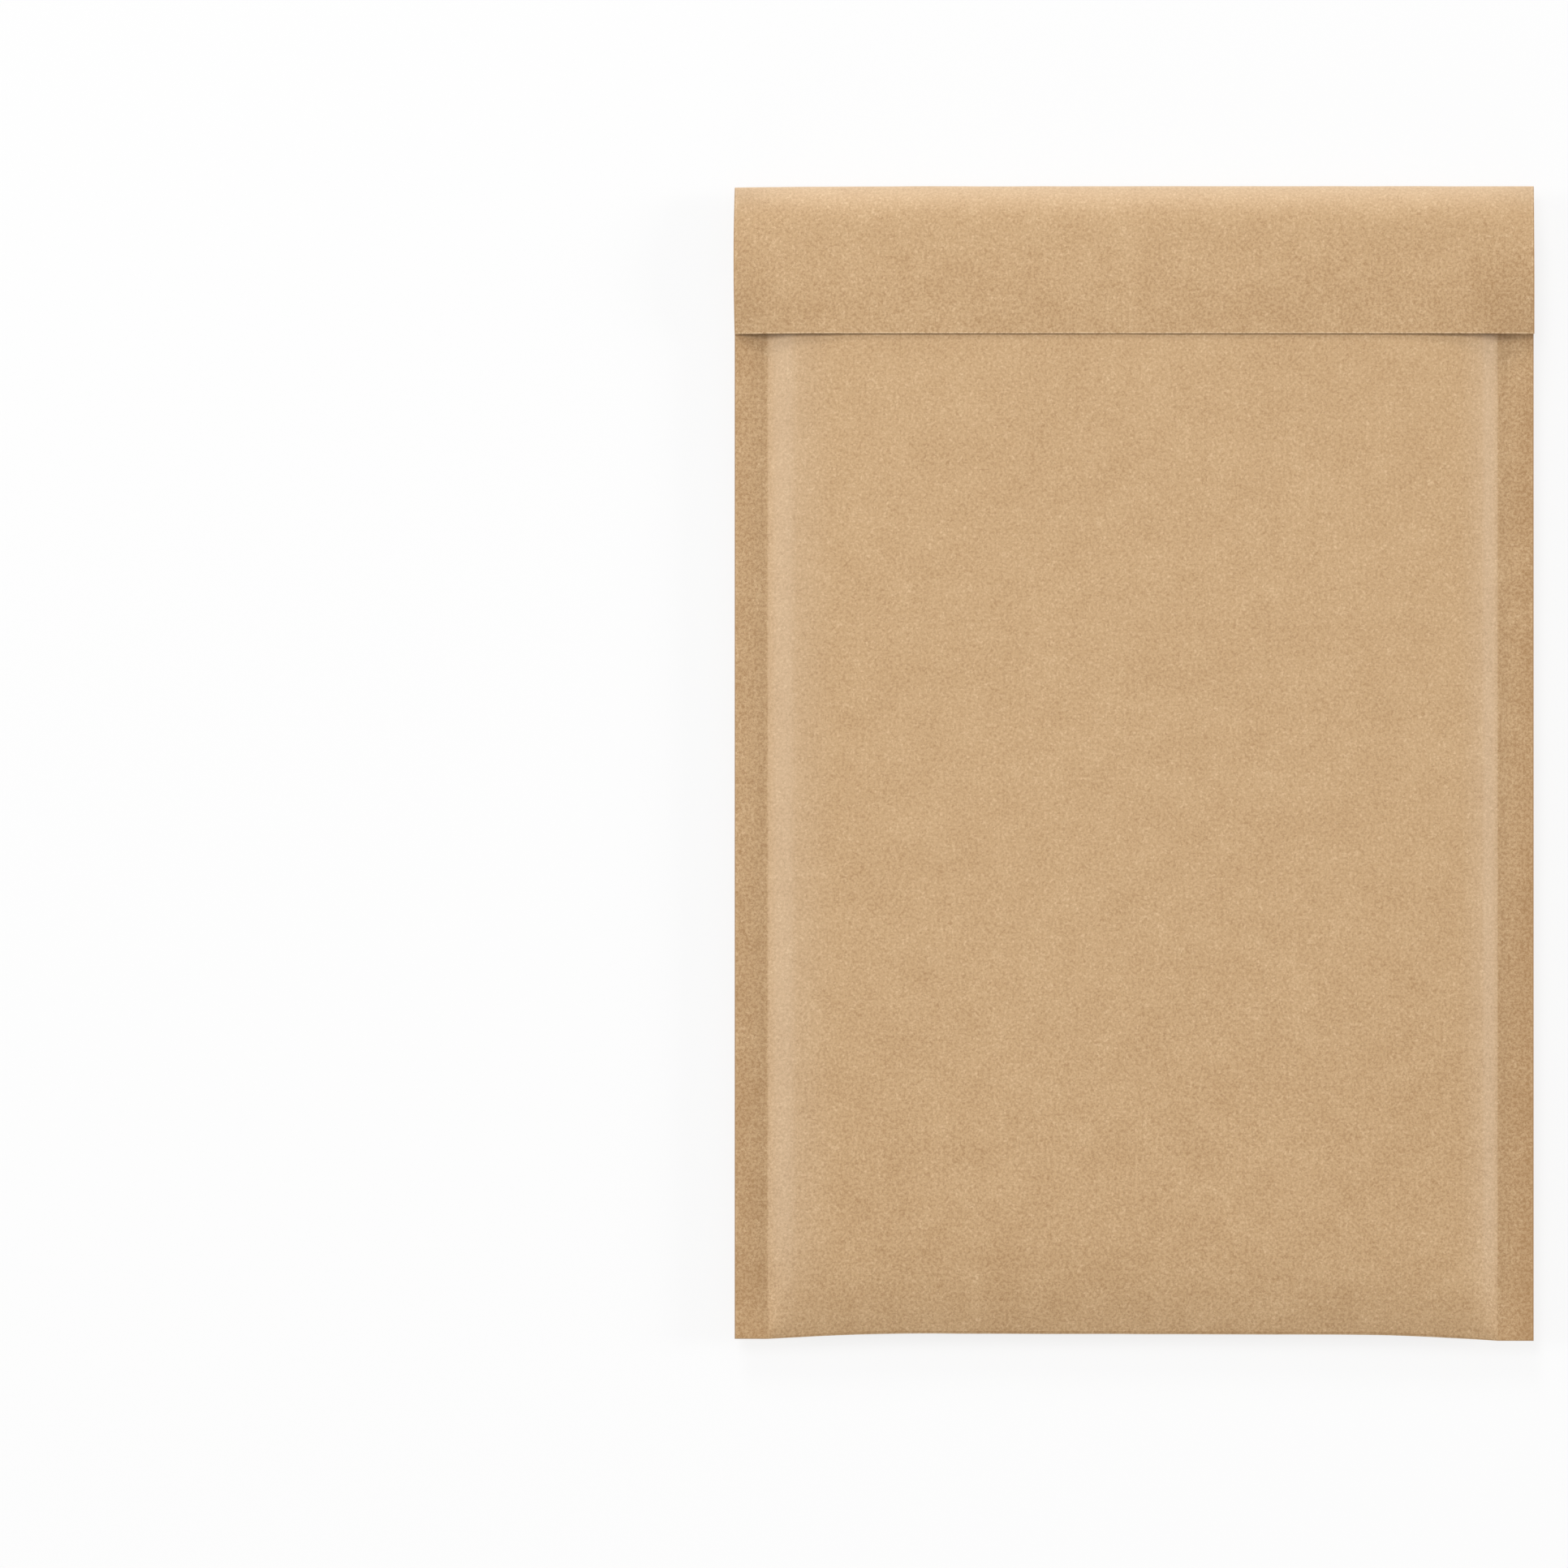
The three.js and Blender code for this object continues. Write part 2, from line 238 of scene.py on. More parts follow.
class PaperSettings(bpy.types.PropertyGroup):
    width: length("Width", "Outside width across both seams", 0.24)
    length: length("Length", "From the bottom corners to the folded top", 0.3469)
    body: length("Body thickness", "Padded thickness, without the flap", 0.012)
    ply: length("Paper thickness", "Thickness of the kraft paper", 0.00016)
    seam_left: length("Left seam", "Width of the sealed strip on the left", 0.0099)
    seam_right: length("Right seam", "Width of the sealed strip on the right", 0.0108)
    seam_film: length("Seam film", "Crushed film between the plies of a seam", 0.0001)
    shoulder: length("Shoulder", "How softly the pad rises from a seam's crease", 0.014)
    ridge: length("Ridge", "From a seam's crease to the end of the pad's straight edge", 0.009)
    ridge_share: share("Ridge share", "How much of the pad's height that straight edge makes up", 0.35)
    ridge_sway: share("Ridge sway", "How much the ridge wanders along the seam, as a share of it", 0.22)
    bottom_run: length("Bottom run", "From the bottom fold to the level of the pad", 0.042)
    bottom_power: share("Bottom power", "How steeply the pad leaves the bottom fold", 3)
    nose_run: length("Nose run", "Length of the rounded bottom fold", 0.0009)
    nose_half: length("Nose half", "Half of the thickness at the bottom fold", 0.0012)
    bottom_rise: length("Bottom rise", "How far the padding draws up the bottom fold", 0.0017)
    rise_run: length("Rise run", "From a seam to the full rise of the bottom fold", 0.046)
    skew: length("Skew", "How much the bottom fold is out of square, half of it", 0.0003)
    top_run: length("Top run", "Where the pad starts to thin, below the folded top", 0.051)
    mouth: length("Mouth", "Top edge of the front panel, below the folded top", 0.017)
    mouth_drop: length("Mouth drop", "How much lower each panel is at the mouth", 0.0013)
    mouth_power: share("Mouth power", "How late the pad thins towards the mouth", 1.6)
    relief: length("Relief", "Height of the paper's soft unevenness", 0.00007)
    tone: colour("Kraft", "Middle tone of the paper", (200, 164, 121.5))
    light_fibre: colour("Light fibres", "The palest fibres in the paper", (226, 194, 152))
    dark_fibre: colour("Dark fibres", "The darkest fibres in the paper", (170, 131, 88))
    # Painted sheen: a paler tone laid on the pad's edges and the folded top in place of their soft
    # highlight.
    painted_sheen: colour("Rubbed", "Where the paper has been bent and its fibres stand up", (228, 208, 184))
    ridge_sheen: share("Ridge rub", "How much of that tone shows on the pad's edges", 0.2)
    right_ridge: share("Right ridge", "How much narrower that tone is on the right", 1.7)
    # Painted shade on the flap's free end and corners, which bend down away from the light.
    flap_shade: share("Handled", "How much darker the flap's free end and corners are from handling", 0.15)
    # Painted sheen on the folded top.
    fold_sheen: share("Fold rub", "How much of that tone shows on the folded top", 0.48)


class FlapSettings(bpy.types.PropertyGroup):
    length: length("Length", "From the folded top to the flap's free edge", 0.04465)
    bulge: length("Bulge", "How far the flap's left side bows out", 0.0003)
    tuck: length("Tuck", "How far the flap's right side bows in", 0.0003)
    radius: length("Fold radius", "Radius of the folded top over the pad", 0.0019)
    side_radius: length("Side radius", "Radius of the folded top at its two ends", 0.0007)
    sag: length("Sag", "How much lower the folded top is at its left end", 0.0004)
    sag_run: length("Sag run", "How fast that sag fades along the fold", 0.023)
    crest: length("Crest", "Highest line of the flap, below the folded top", 0.026)
    power: share("Power", "How steeply the flap leaves the fold", 7)
    side_power: share("Side power", "How steeply the flap leaves the fold at its sides", 2)
    fall: share("Fall", "How late the flap falls from its crest to its free edge", 1.6)
    arch: length("Arch", "How far the flap's middle springs up off the pad", 0.0011)
    lip: length("Lip", "How far the flap's free edge stays off the pad", 0.00045)
    corner_tuck: length("Corner tuck", "How much shorter the flap looks at its draped corners", 0.0002)
    left_crest: length("Left crest", "Height of the flap's middle over the left seam", 0.0036)
    right_crest: length("Right crest", "Height of the flap's middle over the right seam", 0.0046)
    left_free: length("Left corner", "Height of the flap's free corner over the left seam", 0.0008)
    right_free: length("Right corner", "Height of the flap's free corner over the right seam", 0.002)
    drape_run: length("Drape run", "From the flap's sides to where it lies on the pad", 0.024)
    drape_power: share("Drape", "How the flap falls off the pad to its sides", 1.2)
    glue_width: length("Glue width", "Width of the strip of glue", 0.014)
    cover_width: length("Cover width", "Width of the release liner", 0.018)
    cover_inset: length("Cover inset", "From the flap's free edge to the release liner", 0.008)
    glue_thickness: length("Glue thickness", "Thickness of the strip of glue", 0.00012)
    cover_thickness: length("Cover thickness", "Thickness of the release liner", 0.00008)
    gap: length("Gap", "Between the paper, the glue and the release liner", 0.00002)


class LiningSettings(bpy.types.PropertyGroup):
    wall: length("Wall", "Thickness of one ply of bubble film, with its air", 0.0044)
    film: length("Film", "Thickness of the film itself", 0.00003)
    bubble: length("Bubble", "Diameter of a bubble", 0.01)
    pitch: length("Pitch", "From one bubble to the next in a row", 0.0112)
    fullness: share("Fullness", "How round the bubbles are, from full at 0 to a ball's at 1", 0.55)
    sides: IntProperty(name="Sides", description="Sides of each bubble", default=10, min=6, max=24)
    setback: length("Setback", "Top edge of the film, below the paper's mouth", 0.004)
    margin: length("Margin", "From a seam to the middle of the first bubble", 0.0075)
    fold_margin: length("Fold margin", "From the bottom fold to the edge of the first bubble", 0.006)
    tint: colour("Tint", "Colour of the film", (232, 238, 241))


class StudioSettings(bpy.types.PropertyGroup):
    lens: FloatProperty(name="Lens", description="Focal length in millimetres", default=150)
    view_width: length("View width", "Width that the camera sees at the seams", 0.4711)
    camera_x: length("Camera across", "Where the camera is across the envelope", -0.1052)
    camera_y: length("Camera along", "Where the camera is along the envelope", -0.00615)
    ambient: share("Ambient", "Strength of the light from all round", 0.38)
    floor: colour("Floor", "Colour of the floor", (244, 244, 244))
    glow: share("Glow", "How much of the floor shows plain white to the camera", 0.8)


def mix(a, b, t):
    """From a, at t = 0, to b, at t = 1."""
    return a + (b - a) * t


def clamp(t):
    """Keep a share between 0 and 1."""
    return min(max(t, 0), 1)


def knee(t, sharpness=6):
    """A straight rise that turns level at 1, round a tight bend."""
    return t / (1 + t ** sharpness) ** (1 / sharpness)


def lower(a, b, power=2.5):
    """The lower of two shares, rounded where they cross."""
    if min(a, b) <= LEAST_SHARE:
        return 0
    return (a ** -power + b ** -power - 1) ** (-1 / power)


def ease_out(t, power):
    """From 0 to 1, steep at first and level at the end."""
    return 1 - (1 - clamp(t)) ** power


def spread(start, stop, count, power=1):
    """Even steps from start to stop, both included, crowded towards start by a power above 1."""
    return [mix(start, stop, (i / count) ** power) for i in range(count + 1)]


class Bag:
    """The padded shape that every piece is fitted to. Heights count from the plane of the seams."""

    def __init__(self, paper, flap):
        self.paper = paper
        self.flap = flap
        self.half_width = paper.width / 2
        self.half_length = paper.length / 2
        self.half_ply = paper.ply / 2
        self.seam_ply = paper.seam_film / 2 + self.half_ply
        self.rise = paper.body / 2 - self.half_ply - self.seam_ply
        self.mouth_y = self.half_length - paper.mouth
        self.taper_y = self.half_length - paper.top_run
        self.free_y = self.half_length - flap.length
        self.seam_plane = paper.body / 2

    def seam(self, x):
        """Width of the seam on the side that x is on."""
        return self.paper.seam_left if x < 0 else self.paper.seam_right

    def inside(self, x):
        """How far x lies inwards of the nearer seam's crease."""
        return self.half_width - abs(x) - self.seam(x)

    def lift(self, x, y=0):
        """Share of the full padding: a straight rise from the crease to a ridge, then slowly level."""
        inside = max(self.inside(x), 0)
        paper = self.paper
        wander = noise.noise(Vector((math.copysign(SIDE_ROW, x), y / RIDGE_SWAY_LENGTH, 0)))
        ridge = paper.ridge * (1 + paper.ridge_sway * wander)
        return mix(math.tanh(inside / paper.shoulder), knee(inside / ridge), paper.ridge_share)

    def tip_y(self, x):
        """The bottom fold, which the padding draws up between the seams."""
        drawn = self.paper.bottom_rise * math.sin(clamp(self.inside(x) / self.paper.rise_run) * math.pi / 2)
        askew = self.paper.skew * (1 - x / self.half_width)
        return -self.half_length + self.half_ply + drawn + askew

    def nose(self, x):
        """Length and half thickness of the rounded bottom fold."""
        lift = self.lift(x)
        return mix(self.seam_ply, self.paper.nose_run, lift), mix(self.seam_ply, self.paper.nose_half, lift)

    def height(self, x, y):
        """Half of the body's thickness, to the middle of the paper."""
        paper = self.paper
        start = self.tip_y(x) + self.nose(x)[0]
        grown = ease_out((y - start) / paper.bottom_run, paper.bottom_power)
        lift = self.lift(x, y)
        low = paper.nose_half - self.seam_ply
        near_mouth = clamp((y - self.taper_y) / (self.mouth_y - self.taper_y))
        thinned = paper.mouth_drop * near_mouth ** paper.mouth_power
        return self.seam_ply + lift * (low - thinned) + lower(lift, grown) * (self.rise - low)

    def swell(self, place):
        """How far the handled paper stands out at a place on the flat sheet, least in the pressed seams."""
        return self.paper.relief * mix(SEAM_RELIEF, 1, self.lift(place.x)) * unevenness(place)

    def room(self, x, y, film):
        """Half of the height that is free inside the paper, less the thickness of the film there."""
        step = 0.0005
        slope_x = (self.height(x + step, y) - self.height(x - step, y)) / (2 * step)
        slope_y = (self.height(x, y + step) - self.height(x, y - step)) / (2 * step)
        slant = math.hypot(1, slope_x, slope_y)
        uneven = self.paper.relief * mix(SEAM_RELIEF, 1, self.lift(x)) * MOST_UNEVEN
        return self.height(x, y) - (self.half_ply + film + uneven) * slant

    def nose_point(self, x, angle):
        """Round the bottom fold, from -90 degrees on the back to 90 on the front."""
        run, half = self.nose(x)
        return Vector((x, self.tip_y(x) + run * (1 - math.cos(angle)), half * math.sin(angle)))

    def panel_point(self, x, t, side):
        """Up a panel from the bottom fold, t = 0, to the mouth, t = 1."""
        y = mix(self.tip_y(x) + self.nose(x)[0], self.mouth_y, t)
        return Vector((x, y, side * self.height(x, y)))

    def drape(self, x):
        """Share of the pad's height that the flap keeps at x, 0 at the flap's sides."""
        return ease_out((self.half_width - abs(x)) / self.flap.drape_run, self.flap.drape_power)

    def fold_point(self, x, angle):
        """Round the folded top, from a negative angle behind its tip to a positive one in front."""
        radius = mix(self.flap.side_radius, self.flap.radius, self.drape(x))
        sag = self.flap.sag * math.exp(-(x + self.half_width) / self.flap.sag_run)
        y = self.half_length - self.half_ply - sag - radius * (1 - math.cos(angle))
        return Vector((x, y, radius * math.sin(angle)))

    def back_end_point(self, x, t):
        """The single ply behind the flap, from the mouth's level, t = 0, up to the fold, t = 1."""
        below = self.height(x, self.mouth_y)
        fold = self.fold_point(x, -BACK_BEND)
        z = mix(-below, fold.z, 1 - math.cos(t * math.pi / 2))
        return Vector((x, mix(self.mouth_y, fold.y, t), z))

    def under_flap(self, x, t, depth):
        """A point at a depth below the middle of the flap's paper."""
        step = 0.001
        along_x = self.flap_point(x + step, t) - self.flap_point(x - step, t)
        along_y = self.flap_point(x, t - step) - self.flap_point(x, t + step)
        return self.flap_point(x, t) - along_x.cross(along_y).normalized() * depth

    def flap_point(self, x, t):
        """Down the flap from the end of the bend, t = 0, to its free edge, t = 1."""
        flap = self.flap
        start = self.fold_point(x, FRONT_BEND)
        over_pad = self.paper.body / 2 + self.half_ply
        drape = self.drape(x)
        crest = mix(flap.left_crest if x < 0 else flap.right_crest, over_pad + flap.arch, drape)
        free = mix(flap.left_free if x < 0 else flap.right_free, over_pad + flap.lip, drape)
        crest_t = flap.crest / flap.length
        if t < crest_t:
            z = mix(start.z, crest, ease_out(t / crest_t, mix(flap.side_power, flap.power, drape)))
        else:
            z = mix(crest, free, ((t - crest_t) / (1 - crest_t)) ** flap.fall)
        midway = 4 * t * (1 - t)
        bow = (flap.bulge if x < 0 else -flap.tuck) / self.half_width * midway
        end_y = self.free_y + flap.corner_tuck * (1 - drape)
        return Vector((x * (1 + bow), mix(start.y, end_y, t), z))


def across(bag):
    """Lines across the sheet, crowded at its cut edges, at the seams' creases and on the shoulders."""
    left = -bag.half_width + bag.paper.seam_left
    right = bag.half_width - bag.paper.seam_right
    run = SHOULDER_SPAN * bag.paper.shoulder
    inner_edge = bag.half_width - CUT_EDGE
    seam_left = [-bag.half_width, *spread(-inner_edge, left, SEAM_COLUMNS)]
    seam_right = [*spread(right, inner_edge, SEAM_COLUMNS), bag.half_width]
    shoulder_left = spread(left, left + run, SHOULDER_COLUMNS, SHOULDER_CROWDING)[1:]
    shoulder_right = spread(right, right - run, SHOULDER_COLUMNS, SHOULDER_CROWDING)[1:][::-1]
    middle = spread(left + run, right - run, MIDDLE_COLUMNS)[1:-1]
    return seam_left + shoulder_left + middle + shoulder_right + seam_right


def sheet_rows(bag):
    """The whole sheet of paper, from the flap's free edge over the top, down and up again."""
    panel = spread(0, 1, PANEL_ROWS, PANEL_CROWDING)
    nose = spread(-math.pi / 2, math.pi / 2, NOSE_ROWS)[1:-1]
    flap = [1, *spread(1 - CUT_EDGE / bag.flap.length, 0, FLAP_ROWS - 1)][:-1]
    rows = [lambda x, t=t: bag.flap_point(x, t) for t in flap]
    rows += [lambda x, a=a: bag.fold_point(x, a) for a in spread(FRONT_BEND, -BACK_BEND, FOLD_ROWS)]
    rows += [lambda x, t=t: bag.back_end_point(x, t) for t in spread(1, 0, BACK_END_ROWS)[1:-1]]
    rows += [lambda x, t=t: bag.panel_point(x, t, -1) for t in panel[::-1]]
    rows += [lambda x, a=a: bag.nose_point(x, a) for a in nose]
    rows += [lambda x, t=t: bag.panel_point(x, t, 1) for t in panel]
    return rows


def laid_sheet(bag, rows, start=0):
    """A flat sheet, bent row by row into place, and how far along it each row lies.

    Its UV map is the flat sheet of paper in metres, and start is where on it this sheet begins.
    """
    columns = across(bag)
    bm = bmesh.new()
    pattern = bm.loops.layers.uv.new("sheet")
    across_count = len(columns) - 1
    along_count = len(rows) - 1
    bmesh.ops.create_grid(bm, x_segments=across_count, y_segments=along_count, size=0.5)
    middle = [row(0) for row in rows]
    lengths = [start]
    for before, after in pairwise(middle):
        lengths.append(lengths[-1] + (after - before).length)
    cells = {}
    for vert in bm.verts:
        cells[vert] = round((vert.co.x + 0.5) * across_count), round((vert.co.y + 0.5) * along_count)
        column, row = cells[vert]
        vert.co = columns[column], lengths[row], 0
    for face in bm.faces:
        for loop in face.loops:
            loop[pattern].uv = loop.vert.co.xy
    flat = {vert: vert.co.copy() for vert in bm.verts}
    for vert, (column, row) in cells.items():
        vert.co = rows[row](columns[column])
        vert.co.z += bag.seam_plane
    bm.normal_update()
    for vert, place in flat.items():
        vert.co += vert.normal * bag.swell(place)
    return bm, lengths


def unevenness(place):
    """Soft hollows and swells of a sheet that has been handled, at most MOST_UNEVEN either way."""
    broad = noise.noise(place / BROAD_SWELL)
    small = noise.noise(place / SMALL_SWELL + SMALL_SHIFT)
    return broad + SMALL_SHARE * small


class Value:
    """A shader socket that takes part in Python arithmetic."""

    def __init__(self, graph, socket):
        self.graph = graph
        self.socket = socket

    def __add__(self, other):
        return self.graph.maths("ADD", self, other)

    def __radd__(self, other):
        return self.graph.maths("ADD", other, self)

    def __sub__(self, other):
        return self.graph.maths("SUBTRACT", self, other)

    def __rsub__(self, other):
        return self.graph.maths("SUBTRACT", other, self)

    def __mul__(self, other):
        return self.graph.maths("MULTIPLY", self, other)

    def __rmul__(self, other):
        return self.graph.maths("MULTIPLY", other, self)

    def __abs__(self):
        return self.graph.maths("ABSOLUTE", self)

    def between(self, low, high):
        """Rise softly from 0 at low to 1 at high."""
        settings = {"interpolation_type": "SMOOTHSTEP"}
        inputs = {"Value": self, "From Min": low, "From Max": high}
        return self.graph.add("ShaderNodeMapRange", settings, inputs)

    def over(self, mark):
        """Rise softly from 0 to 1 over the span of a mark on the paper."""
        return self.between(*SPANS[mark])


class Graph:
    """The nodes of one material."""

    def __init__(self, name):
        self.material = bpy.data.materials.new(name)
        self.material.use_nodes = True
        self.tree = self.material.node_tree
        self.tree.nodes.clear()

    def add(self, kind, settings=None, inputs=None, output=0):
        """Make any node: its settings first, then its inputs, by name or by number."""
        node = self.tree.nodes.new(kind)
        for name, value in (settings or {}).items():
            setattr(node, name, value)
        for name, value in (inputs or {}).items():
            self.feed(node.inputs[name], value)
        return Value(self, node.outputs[output])

    def feed(self, socket, value):
        """Link a value to a socket, or set the socket to a plain number, vector or colour."""
        if isinstance(value, Value):
            self.tree.links.new(value.socket, socket)
        elif hasattr(value, "__len__") and socket.type == "RGBA":
            socket.default_value = (*value, 1)
        else:
            socket.default_value = value

    def maths(self, operation, *values):
        """Arithmetic on one or two values."""
        return self.add("ShaderNodeMath", {"operation": operation}, dict(enumerate(values)))

    def parts(self, vector):
        """The first two parts of a vector."""
        across_part = self.add("ShaderNodeSeparateXYZ", {}, {0: vector})
        return across_part, Value(self, across_part.socket.node.outputs[1])

    def blend(self, factor, first, second):
        """Mix two colours."""
        return self.add("ShaderNodeMix", {"data_type": "RGBA"}, {0: factor, 6: first, 7: second}, 2)

    def scaled(self, vector, factor, shift=(0, 0, 0)):
        """A vector times a number, then moved."""
        inputs = {0: vector, 1: (factor, factor, factor), 2: shift}
        return self.add("ShaderNodeVectorMath", {"operation": "MULTIPLY_ADD"}, inputs)

    def noise(self, place, scale, detail=2.0, roughness=0.5, distortion=0.0):
        """Flat noise from 0 to 1, most often near the middle."""
        inputs = {
            "Vector": place,
            "Scale": scale,
            "Detail": detail,
            "Roughness": roughness,
            "Distortion": distortion,
        }
        return self.add("ShaderNodeTexNoise", {"noise_dimensions": "2D"}, inputs)

    def surface(self, values, bump, distance, strength):
        """Close the graph with one shader, and a bump from a height."""
        inputs = {"Height": bump, "Distance": distance, "Strength": strength}
        values = {**values, "Normal": self.add("ShaderNodeBump", {}, inputs)}
        return self.close(self.add("ShaderNodeBsdfPrincipled", {}, values))

    def close(self, shader):
        """Lead a shader to the end of the graph, and return the finished material."""
        end = self.tree.nodes.new("ShaderNodeOutputMaterial")
        self.tree.links.new(shader.socket, end.inputs["Surface"])
        return self.material


def sheet_place(graph):
    """Place on the flat sheet, in millimetres."""
    return graph.scaled(graph.add("ShaderNodeUVMap", {"uv_map": "sheet"}), MILLIMETRES)


def hairs(graph, place, hair):
    """Short curved hairs: thin lines of equal noise, broken up by a coarser noise."""
    moved = graph.scaled(place, 1, hair.shift)
    line = abs(graph.noise(moved, 1 / hair.size, detail=1, distortion=HAIR_CURL) - MIDDLE)
    broken = graph.noise(moved, HAIR_BREAKS / hair.size, detail=1).between(*HAIR_GAPS)
    return (1 - line.between(hair.width * HAIR_CORE, hair.width)) * broken * hair.weight


def weighed(marks, weights):
    """The sum of the marks that have a weight, each one times its weight."""
    total = 0
    for name, weight in weights.items():
        total = total + marks[name] * weight
    return total


def painted_light_marks(graph, paper, place, top, mouth, bottom):
    """Painted highlights, the seams' pressed tone with painted shade, and painted sheen on the flat sheet,
    all from 0 to about 1.

    The folded top, the mouth's level and the bottom fold lie that far from the flap's free edge, in metres.
    """
    x, along = graph.parts(place)
    half_width = paper.width / 2 * MILLIMETRES
    left = paper.seam_left * MILLIMETRES - half_width
    right = half_width - paper.seam_right * MILLIMETRES
    inside = graph.maths("MINIMUM", x - left, (right - x) * paper.right_ridge)
    from_side = half_width - abs(x)
    from_right = half_width - x
    from_left = half_width + x
    from_top = abs(along - top * MILLIMETRES)
    from_bottom = abs(along - bottom * MILLIMETRES)

    padded = inside.over("seam_crease")
    below_mouth = (along - mouth * MILLIMETRES).over("mouth")
    rise = mix(RIDGE_START, 1, inside.over("ridge_rise"))
    fall = 1 - inside.over("ridge_near") * 0.5 - inside.over("ridge_far") * 0.5
    # Painted sheen along the pad's ridges, fading at the mouth and near the bottom fold.
    ridge = padded * rise * fall * below_mouth * from_bottom.over("ridge_foot")
    # Painted sheen round the folded top.
    folded = 1 - from_top.over("fold_near") * 0.5 - from_top.over("fold_far") * 0.5
    # Painted shade towards each seam's outer edge, stronger on the right.
    outer = (1 - from_side.over("outer")) * below_mouth
    # Painted shade on the flap: most at its right corner, less over its right part and left corner, and
    # some all along its free end.
    flap_shade_places = {
        "right_corner": 1 - from_right.over("right_corner"),
        "right_part": 1 - from_right.over("right_part"),
        "left_corner": 1 - from_left.over("left_corner"),
        "all": 1,
    }
    marks = {
        # The seams: darker partly from their own pressed tone and partly from painted shade beside the pad.
        "pressed_and_shaded": (1 - padded) * below_mouth,
        # Painted shade: a dark rim along each cut side.
        "cut_side": 1 - from_side.over("cut_side"),
        # Painted highlights: light lines inside the cut sides, along the flap's free edge and along the
        # bottom fold.
        "pale_side": from_side.over("pale_side_start") - from_side.over("pale_side_end"),
        "pale_end": 1 - along.over("pale_end"),
        "pale_fold": 1 - from_bottom.over("pale_fold"),
        # Painted shade in the crease beside the bottom fold.
        "fold_crease": from_bottom.over("fold_crease_start") - from_bottom.over("fold_crease_end"),
        # Painted shade on the flap's free end and corners.
        "flap_shade": weighed(flap_shade_places, FLAP_SHADE_SHARES) * (1 - along.over("free_end")) * paper.flap_shade,
        # Painted shade: darker towards the bottom fold, and over the lower half of the sheet.
        "low_end": 1 - from_bottom.over("low_end"),
        "low_half": 1 - from_bottom.over("low_half"),
        "outer": outer,
        "outer_right": outer * x.over("middle"),
    }
    # The painted sheen of the ridges and the folded top together.
    painted_sheen = ridge * paper.ridge_sheen + folded * paper.fold_sheen
    return weighed(marks, PAINTED_HIGHLIGHTS), weighed(marks, SEAM_TONE_AND_PAINTED_SHADE), painted_sheen


def kraft_material(paper, top, mouth, bottom):
    """Brown kraft: a tangle of light and dark hairs, with the seams' pressed tone, painted shade, painted
    highlights and painted sheen laid on.
    """
    graph = Graph("kraft")
    place = sheet_place(graph)
    painted_highlights, seam_tone_and_shade, painted_sheen = painted_light_marks(graph, paper, place, top, mouth, bottom)
    grain = graph.noise(place, GRAIN_SCALE, detail=2, roughness=0.7)
    cloud = graph.noise(place, CLOUD_SCALE, detail=4, roughness=0.62)
    patch = graph.noise(place, PATCH_SCALE, detail=2)
    cells = {"Vector": place, "Scale": SPECK_SCALE}
    speck = 1 - graph.add("ShaderNodeTexVoronoi", {"voronoi_dimensions": "2D"}, cells).between(*SPECK_EDGE)

    light = hairs(graph, place, FINE_LIGHT) + hairs(graph, place, BROAD_LIGHT)
    # Painted highlights join the light hairs; the seams' pressed tone and the painted shade join the dark
    # ones.
    light = light + (grain - MIDDLE) * GRAIN_WEIGHT + painted_highlights
    dark = hairs(graph, place, FINE_DARK) + hairs(graph, place, BROAD_DARK) + seam_tone_and_shade
    tone = (cloud - MIDDLE) * CLOUD_WEIGHT + (patch - MIDDLE) * PATCH_WEIGHT
    pale = graph.blend((light + tone).between(0, 1), paper.tone, paper.light_fibre)
    aged = graph.blend((dark - tone * DARK_TONE).between(0, 1), pale, paper.dark_fibre)
    spotted = graph.blend(speck * SPECK_WEIGHT, aged, paper.dark_fibre)
    values = {
        # Painted sheen on the pad's edges and the folded top.
        "Base Color": graph.blend(painted_sheen, spotted, paper.painted_sheen),
        "Roughness": KRAFT_ROUGHNESS + (grain - MIDDLE) * KRAFT_ROUGHNESS_SWING,
        "Specular IOR Level": 0.5,
    }
    height = light - dark * DARK_HOLLOW + cloud * CLOUD_RELIEF
    return graph.surface(values, bump=height, distance=KRAFT_BUMP, strength=0.5)


def film_material(lining):
    """Clear polythene, a little hazy and darker in places."""
    graph = Graph("bubble_film")
    place = graph.scaled(graph.add("ShaderNodeTexCoord", {}, {}, "Object"), MILLIMETRES)
    haze = graph.add("ShaderNodeTexNoise", {}, {"Vector": place, "Scale": HAZE_SCALE, "Detail": 3})
    tint = graph.blend(haze, lining.tint, [value * HAZE_TONE for value in lining.tint])
    values = {
        "Base Color": tint,
        "Roughness": mix(*FILM_ROUGHNESS, haze),
        "Alpha": mix(*FILM_ALPHA, haze),
        "IOR": FILM_IOR,
    }
    return graph.surface(values, bump=haze, distance=FILM_BUMP, strength=0.3)


def glue_material():
    """Hot-melt glue, yellow and softly rippled."""
    graph = Graph("glue")
    ripple = graph.noise(sheet_place(graph), GLUE_SCALE, detail=3)
    values = {"Base Color": graph.blend(ripple, *GLUE_TONES), "Roughness": mix(*GLUE_ROUGHNESS, ripple)}
    return graph.surface(values, bump=ripple, distance=GLUE_BUMP, strength=0.6)


def cover_material():
    """Smooth off-white paper with a silicone coat."""
    graph = Graph("release_liner")
    grain = graph.noise(sheet_place(graph), LINER_SCALE, detail=4)
    values = {"Base Color": graph.blend(grain, *LINER_TONES), "Roughness": mix(*LINER_ROUGHNESS, grain)}
    return graph.surface(values, bump=grain, distance=LINER_BUMP, strength=0.4)


